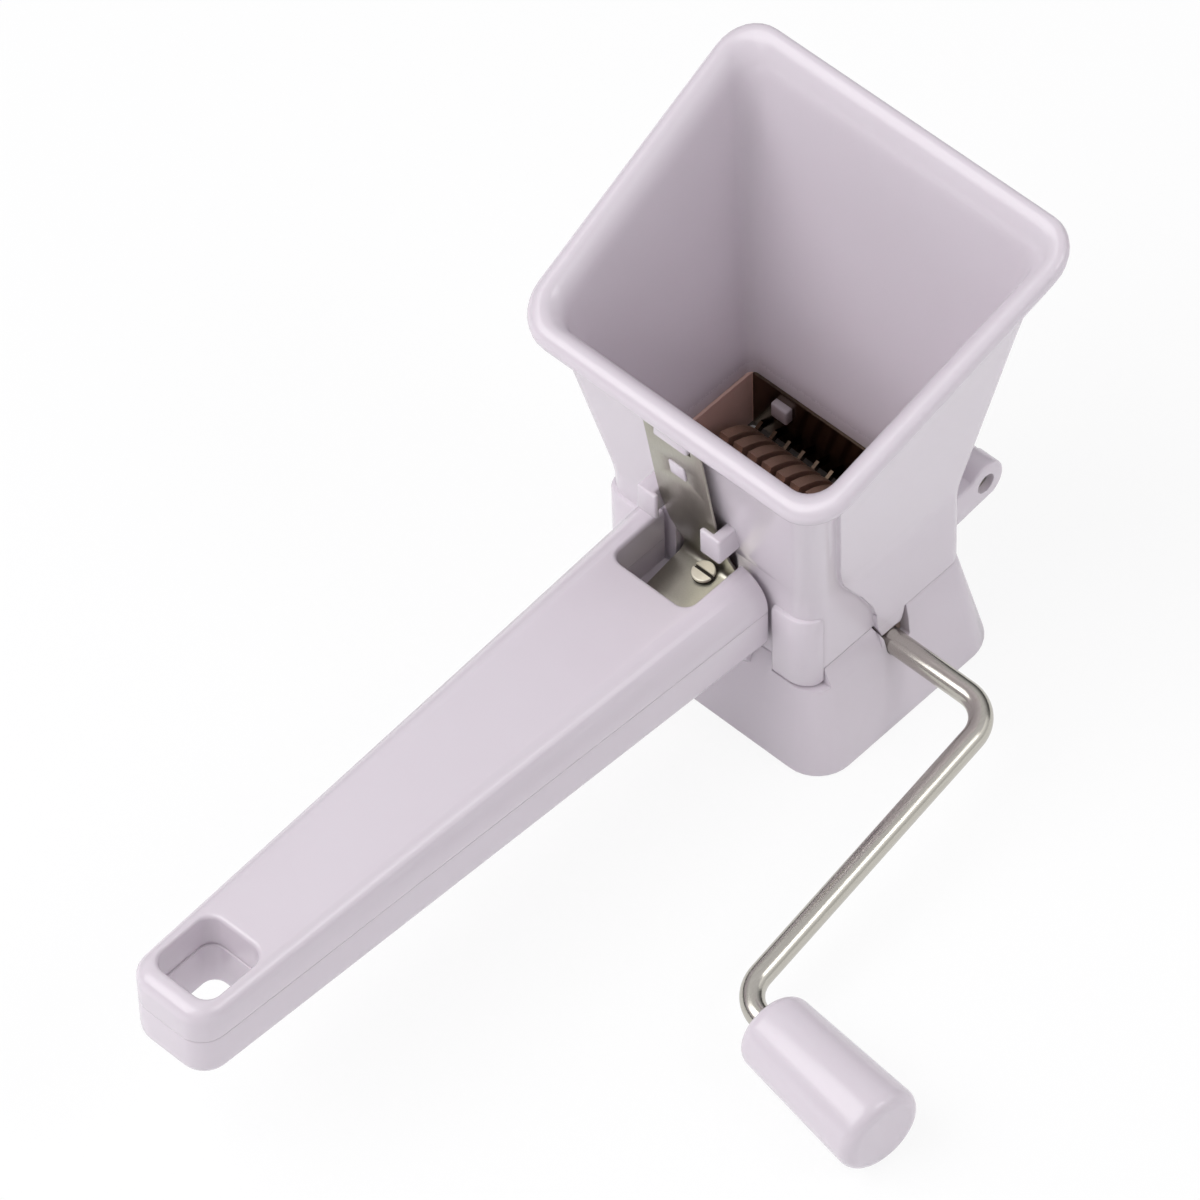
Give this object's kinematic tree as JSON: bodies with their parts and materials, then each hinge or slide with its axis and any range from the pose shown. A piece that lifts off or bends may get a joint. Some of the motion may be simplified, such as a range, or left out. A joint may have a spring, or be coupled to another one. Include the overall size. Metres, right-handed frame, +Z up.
{
  "type": "hand cranked herb grater",
  "caption": "Hand-cranked herb mill: flared hopper hinged to a skirted base with a long flat handle, bent wire crank with knob, stacked toothed cutters and a steel comb.",
  "frame": {"origin": "middle of the outlet in the plane of the skirt's foot, on the table under the throat", "axes": "+Z up, the handle points to -X, the hinge is on +X, the crank comes out on -Y"},
  "size_m": [0.1884, 0.1328, 0.1054],
  "materials": {
    "lilac_plastic": "moulded, semi-gloss, pale grey lilac",
    "satin_steel": "satin stainless sheet and pin",
    "comb_steel": "stamped stainless, dull",
    "bright_steel": "bright drawn stainless wire"
  },
  "bodies": {
    "base": {"base_shell": "lilac_plastic", "handle_cover": "lilac_plastic", "hinge_pin": "satin_steel", "latch_foot": "satin_steel", "latch_screw": "bright_steel"},
    "hopper": {"hopper_shell": "lilac_plastic", "comb_plate": "comb_steel"},
    "latch": {"latch_blade": "satin_steel"},
    "crank": {"crank_wire": "bright_steel", "end_spacer_near": "comb_steel", "end_spacer_far": "comb_steel", "cutter_01": "comb_steel", "cutter_02": "comb_steel", "cutter_03": "comb_steel", "cutter_04": "comb_steel", "cutter_05": "comb_steel", "cutter_06": "comb_steel", "cutter_07": "comb_steel", "cutter_08": "comb_steel", "cutter_09": "comb_steel", "cutter_10": "comb_steel", "cutter_11": "comb_steel", "cutter_12": "comb_steel", "spacer_01": "comb_steel", "spacer_02": "comb_steel", "spacer_03": "comb_steel", "spacer_04": "comb_steel", "spacer_05": "comb_steel", "spacer_06": "comb_steel", "spacer_07": "comb_steel", "spacer_08": "comb_steel", "spacer_09": "comb_steel", "spacer_10": "comb_steel", "spacer_11": "comb_steel"},
    "knob": {"crank_knob": "lilac_plastic"}
  },
  "joints": [
    {"name": "hopper_open", "type": "hinge", "parent": "base", "child": "hopper", "pos_m": [0.0291, 0, 0.0299], "axis": [0, 1, 0], "range_deg": [0, 100]},
    {"name": "latch_flex", "type": "hinge", "parent": "base", "child": "latch", "pos_m": [-0.02, 0, 0.0338], "axis": [0, -1, 0], "range_deg": [0, 6], "stiffness_Nm_per_rad": 0.05},
    {"name": "crank_turn", "type": "hinge", "parent": "base", "child": "crank", "pos_m": [0, 0, 0.0165], "axis": [0, -1, 0], "continuous": true},
    {"name": "knob_spin", "type": "hinge", "parent": "crank", "child": "knob", "pos_m": [-0.07112, -0.05498, 0.0088], "axis": [-0.1253, -0.9921, 0], "continuous": true}
  ]
}
